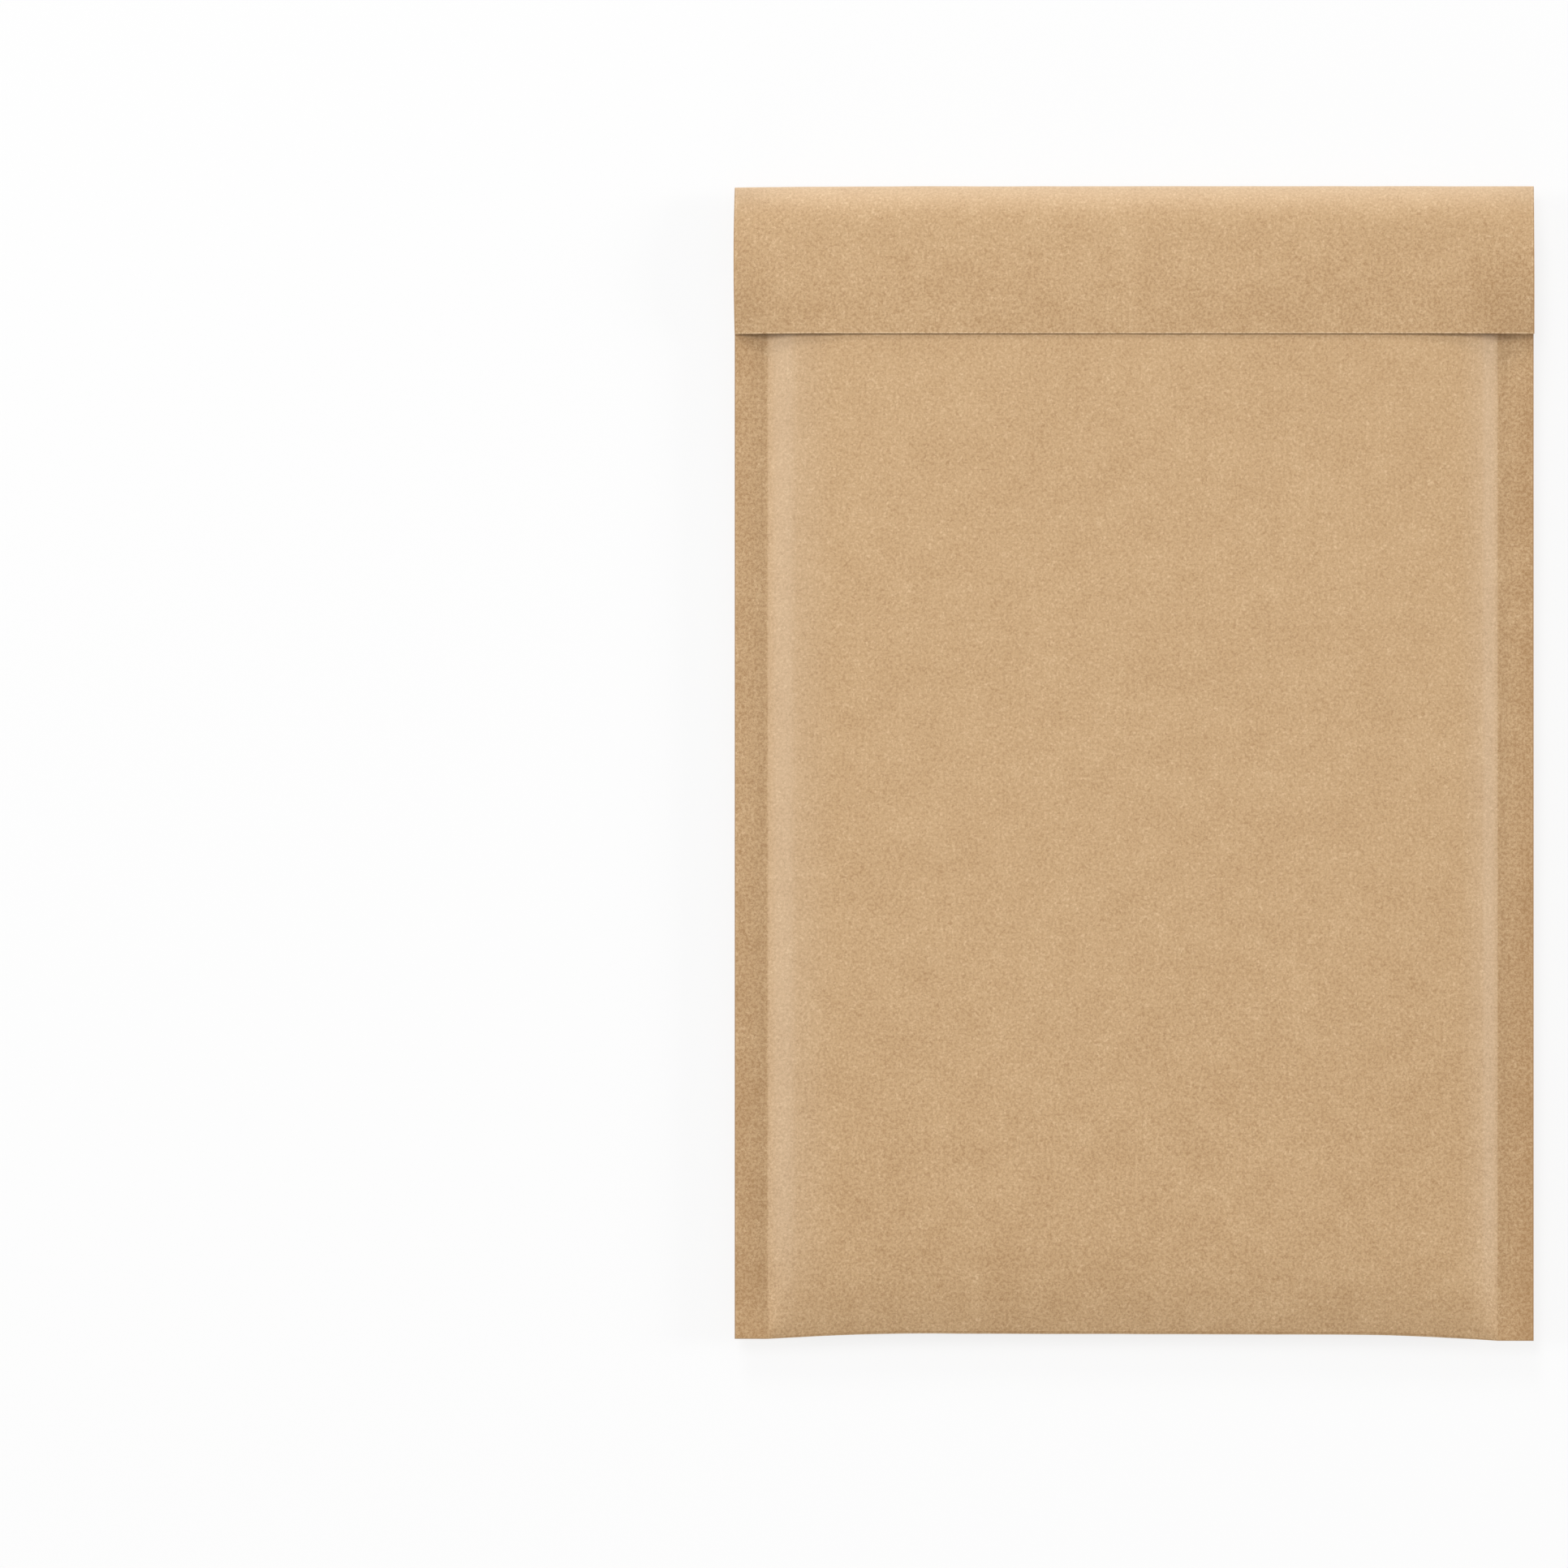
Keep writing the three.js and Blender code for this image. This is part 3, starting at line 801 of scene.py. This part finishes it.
def stage_material(studio):
    """A white floor that keeps the envelope's shadow and turns plain white far from it."""
    graph = Graph("floor")
    place = graph.add("ShaderNodeTexCoord", {}, {}, "Object")
    distance = graph.add("ShaderNodeVectorMath", {"operation": "LENGTH"}, {0: place}, "Value")
    away = distance.between(*PLAIN_WHITE)
    matte = graph.add("ShaderNodeBsdfDiffuse", {}, {"Color": studio.floor})
    white = graph.add("ShaderNodeEmission", {}, {"Color": WHITE, "Strength": 1})
    seen = graph.add("ShaderNodeLightPath", {}, {}, "Is Camera Ray")
    mirrored = graph.add("ShaderNodeLightPath", {}, {}, "Is Glossy Ray")
    through = graph.add("ShaderNodeLightPath", {}, {}, "Is Transmission Ray")
    direct = graph.maths("MINIMUM", seen + mirrored + through, 1)
    factor = direct * mix(studio.glow, 1, away)
    return graph.close(graph.add("ShaderNodeMixShader", {}, {0: factor, 1: matte, 2: white}))


def piece_from(bm, name, material, slot, *nodes):
    """Turn a bmesh into a piece that rides on the envelope and stands for its nodes."""
    mesh = bpy.data.meshes.new(name)
    bm.to_mesh(mesh)
    bm.free()
    mesh.materials.append(material)
    mesh.shade_smooth()
    piece = bpy.data.objects.new(name, mesh)
    bpy.context.scene.collection.objects.link(piece)
    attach(piece, "root")
    if nodes:
        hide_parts(*nodes)
    return piece


def thicken(piece, thickness):
    """Give a sheet its thickness, half to each side."""
    wall = piece.modifiers.new("thickness", "SOLIDIFY")
    wall.thickness = thickness
    wall.offset = 0


class ENVELOPE_OT_lining(bpy.types.Operator):
    """Lay the bubble film into the envelope"""

    bl_idname = "envelope.lining"
    bl_label = "Bubble lining"

    def execute(self, context):
        bag = Bag(context.scene.envelope_paper, context.scene.envelope_flap)
        lining = context.scene.envelope_lining
        bm = self.flat_film(bag, lining)
        self.add_bubbles(bm, bag, lining)
        for vert in bm.verts:
            vert.co = self.fitted(bag, lining, vert.co)
        piece = piece_from(bm, "bubble_film", film_material(lining), "film", "bubble_lining")
        thicken(piece, lining.film)
        return {"FINISHED"}

    def reach(self, bag, lining):
        """Length of one wall of film, from the bottom fold to its top edge."""
        return bag.mouth_y - lining.setback - bag.tip_y(0)

    def flat_film(self, bag, lining):
        """The film as cut, with the bottom fold at y = 0, the back below it and the front above."""
        bm = bmesh.new()
        columns = across(bag)
        reach = self.reach(bag, lining)
        front = spread(0, reach, FILM_ROWS, FILM_CROWDING)
        rows = [-y for y in front[:0:-1]] + front
        bmesh.ops.create_grid(bm, x_segments=len(columns) - 1, y_segments=len(rows) - 1, size=0.5)
        for vert in bm.verts:
            column = round((vert.co.x + 0.5) * (len(columns) - 1))
            row = round((vert.co.y + 0.5) * (len(rows) - 1))
            vert.co = columns[column], rows[row], 0
        return bm

    def add_bubbles(self, bm, bag, lining):
        """Rows of low domes on the film, each second row shifted by half a bubble."""
        dome = self.dome(lining)
        row_pitch = lining.pitch * math.sqrt(3) / 2
        inner_width = bag.paper.width - bag.paper.seam_left - bag.paper.seam_right - 2 * lining.margin
        per_row = int(inner_width / lining.pitch)
        first_x = -bag.half_width + bag.paper.seam_left + lining.margin
        clear = lining.bubble / 2 + bag.paper.nose_run + lining.fold_margin
        row_count = int((self.reach(bag, lining) - clear - lining.bubble / 2) / row_pitch)
        for side in (-1, 1):
            for row in range(row_count + 1):
                y = side * (clear + row * row_pitch)
                odd = row % 2
                for number in range(per_row + 1 - odd):
                    x = first_x + (number + odd / 2) * lining.pitch
                    dome.transform(Matrix.Translation((x, y, 0)))
                    bm.from_mesh(dome)
                    dome.transform(Matrix.Translation((-x, -y, 0)))
        bpy.data.meshes.remove(dome)

    def dome(self, lining):
        """One bubble: the top half of a ball, made fuller. Its height of 1 is the wall's."""
        bm = bmesh.new()
        radius = lining.bubble / 2
        bmesh.ops.create_uvsphere(bm, u_segments=lining.sides, v_segments=DOME_RINGS, radius=radius)
        below = [vert for vert in bm.verts if vert.co.z < -radius * BELOW_RIM]
        bmesh.ops.delete(bm, geom=below, context="VERTS")
        for vert in bm.verts:
            vert.co.z = clamp(vert.co.z / radius) ** lining.fullness
        mesh = bpy.data.meshes.new("bubble")
        bm.to_mesh(mesh)
        bm.free()
        return mesh

    def fitted(self, bag, lining, flat):
        """A point of the flat film, folded and pressed into the room inside the paper."""
        x, along, swell = flat
        side = 1 if along > 0 else -1
        fold = bag.tip_y(x)
        run = bag.nose(x)[0]
        y = fold + run * FILM_REACH + abs(along)
        room = bag.room(x, max(y, fold + run), lining.film * FILM_CLEARANCE)
        pocket = min(max(room - lining.wall, LEAST_POCKET), room * MOST_POCKET)
        return Vector((x, y, bag.seam_plane + side * mix(pocket, room, swell)))


class ENVELOPE_OT_paper(bpy.types.Operator):
    """Fold the sheet of kraft paper into the back, the front and the flap"""

    bl_idname = "envelope.paper"
    bl_label = "Kraft paper"

    def execute(self, context):
        bag = Bag(context.scene.envelope_paper, context.scene.envelope_flap)
        bm, lengths = laid_sheet(bag, sheet_rows(bag))
        top = lengths[FLAP_ROWS + FOLD_ROWS // 2]
        mouth = lengths[FLAP_ROWS + FOLD_ROWS + BACK_END_ROWS]
        bottom = lengths[-1 - PANEL_ROWS - NOSE_ROWS // 2]
        material = kraft_material(bag.paper, top, mouth, bottom)
        piece = piece_from(bm, "kraft_sheet", material, "kraft", "kraft_paper")
        thicken(piece, bag.paper.ply)
        return {"FINISHED"}


class ENVELOPE_OT_closure(bpy.types.Operator):
    """Lay the strip of glue and its release liner on the inside of the flap"""

    bl_idname = "envelope.closure"
    bl_label = "Glue and release liner"

    def execute(self, context):
        bag = Bag(context.scene.envelope_paper, context.scene.envelope_flap)
        flap = bag.flap
        glue_inset = flap.cover_inset + (flap.cover_width - flap.glue_width) / 2
        glue_depth = bag.half_ply + flap.gap + flap.glue_thickness / 2
        cover_depth = glue_depth + flap.glue_thickness / 2 + flap.gap + flap.cover_thickness / 2
        glue = self.band(bag, glue_inset, flap.glue_width, glue_depth)
        cover = self.band(bag, flap.cover_inset, flap.cover_width, cover_depth)
        strip = piece_from(glue, "glue_strip", glue_material(), "adhesive", "adhesive_strip")
        liner = piece_from(cover, "liner_strip", cover_material(), "coated_paper", "release_liner")
        thicken(strip, flap.glue_thickness)
        thicken(liner, flap.cover_thickness)
        return {"FINISHED"}

    def band(self, bag, inset, width, depth):
        """A strip that follows the flap at a depth below the middle of its paper."""
        shares = spread(1 - inset / bag.flap.length, 1 - (inset + width) / bag.flap.length, STRIP_ROWS)
        rows = [lambda x, t=t: bag.under_flap(x, t, depth) for t in shares]
        return laid_sheet(bag, rows, inset)[0]


class ENVELOPE_OT_studio(bpy.types.Operator):
    """Set up the floor, the soft lights and the camera above the envelope"""

    bl_idname = "envelope.studio"
    bl_label = "Studio"

    def execute(self, context):
        studio = context.scene.envelope_studio
        self.add_floor(studio)
        self.add_suns()
        self.add_window()
        self.add_world(context.scene, studio)
        self.add_camera(context.scene, studio)
        context.scene.view_settings.view_transform = "Standard"
        return {"FINISHED"}

    def add_floor(self, studio):
        """A broad floor, just clear of the envelope's lowest swell."""
        bm = bmesh.new()
        bmesh.ops.create_grid(bm, x_segments=FLOOR_CELLS, y_segments=FLOOR_CELLS, size=FLOOR_HALF_SIZE)
        bmesh.ops.translate(bm, verts=bm.verts, vec=(0, 0, -FLOOR_DROP))
        mesh = bpy.data.meshes.new("floor")
        bm.to_mesh(mesh)
        bm.free()
        mesh.materials.append(stage_material(studio))
        floor = bpy.data.objects.new("floor", mesh)
        bpy.context.scene.collection.objects.link(floor)

    def add_window(self):
        """One broad lamp beyond the envelope's top left corner, which lights that corner most."""
        lamp = bpy.data.lights.new("window", "AREA")
        lamp.energy = WINDOW_POWER
        lamp.size = WINDOW_SIZE
        self.place_lamp(lamp, WINDOW_PLACE, WINDOW_PLACE)

    def add_suns(self):
        """The soft lamps round the envelope."""
        for name, setting in LAMPS.items():
            lamp = bpy.data.lights.new(name, "SUN")
            lamp.energy = setting.strength
            lamp.angle = math.radians(setting.spread)
            elevation = math.radians(setting.elevation)
            level = Vector((*setting.heading, 0)).normalized() * math.cos(elevation)
            towards = Vector((level.x, level.y, math.sin(elevation)))
            self.place_lamp(lamp, towards, towards * LAMP_DISTANCE)

    def place_lamp(self, lamp, towards, place):
        """Put a lamp at a place, shining from there to the envelope."""
        placed = bpy.data.objects.new(lamp.name, lamp)
        placed.rotation_euler = towards.to_track_quat("Z", "Y").to_euler()
        placed.location = place
        bpy.context.scene.collection.objects.link(placed)

    def add_world(self, scene, studio):
        """Even light from all round, behind a plain white background."""
        world = bpy.data.worlds.new("studio")
        world.use_nodes = True
        tree = world.node_tree
        tree.nodes.clear()
        ambient = tree.nodes.new("ShaderNodeBackground")
        ambient.inputs["Strength"].default_value = studio.ambient
        white = tree.nodes.new("ShaderNodeBackground")
        path = tree.nodes.new("ShaderNodeLightPath")
        blend = tree.nodes.new("ShaderNodeMixShader")
        end = tree.nodes.new("ShaderNodeOutputWorld")
        tree.links.new(path.outputs["Is Camera Ray"], blend.inputs[0])
        tree.links.new(ambient.outputs[0], blend.inputs[1])
        tree.links.new(white.outputs[0], blend.inputs[2])
        tree.links.new(blend.outputs[0], end.inputs[0])
        white.inputs["Color"].default_value = (*WHITE, 1)
        ambient.inputs["Color"].default_value = (*WHITE, 1)
        scene.world = world

    def add_camera(self, scene, studio):
        """Look straight down, with the folded top at the top of the picture."""
        camera = bpy.data.cameras.new("camera")
        camera.lens = studio.lens
        distance = studio.view_width * studio.lens / camera.sensor_width
        placed = bpy.data.objects.new("camera", camera)
        placed.location = (studio.camera_x, studio.camera_y, scene.envelope_paper.body / 2 + distance)
        scene.collection.objects.link(placed)
        scene.camera = placed


class ENVELOPE_PT_panel(bpy.types.Panel):
    """The steps that build the envelope, and all its sizes and tones"""

    bl_label = "Padded envelope"
    bl_space_type = "VIEW_3D"
    bl_region_type = "UI"
    bl_category = "Envelope"

    def draw(self, context):
        for operator in OPERATORS:
            self.layout.operator(operator.bl_idname)
        for attribute in SETTINGS:
            group = getattr(context.scene, attribute)
            box = self.layout.box()
            for name in group.__annotations__:
                box.prop(group, name)


SETTINGS = {
    "envelope_paper": PaperSettings,
    "envelope_flap": FlapSettings,
    "envelope_lining": LiningSettings,
    "envelope_studio": StudioSettings,
}
OPERATORS = (ENVELOPE_OT_lining, ENVELOPE_OT_paper, ENVELOPE_OT_closure, ENVELOPE_OT_studio)


def register():
    """Add the panel, its settings and its operators to Blender."""
    for kind in (*SETTINGS.values(), *OPERATORS, ENVELOPE_PT_panel):
        bpy.utils.register_class(kind)
    for attribute, group in SETTINGS.items():
        setattr(bpy.types.Scene, attribute, PointerProperty(type=group))


def unregister():
    """Take them out again."""
    for attribute in SETTINGS:
        delattr(bpy.types.Scene, attribute)
    for kind in (ENVELOPE_PT_panel, *OPERATORS, *SETTINGS.values()):
        bpy.utils.unregister_class(kind)


def main():
    """Build the envelope and its studio."""
    register()
    bpy.ops.envelope.lining()
    bpy.ops.envelope.paper()
    bpy.ops.envelope.closure()
    bpy.ops.envelope.studio()


if __name__ == "__main__":
    main()
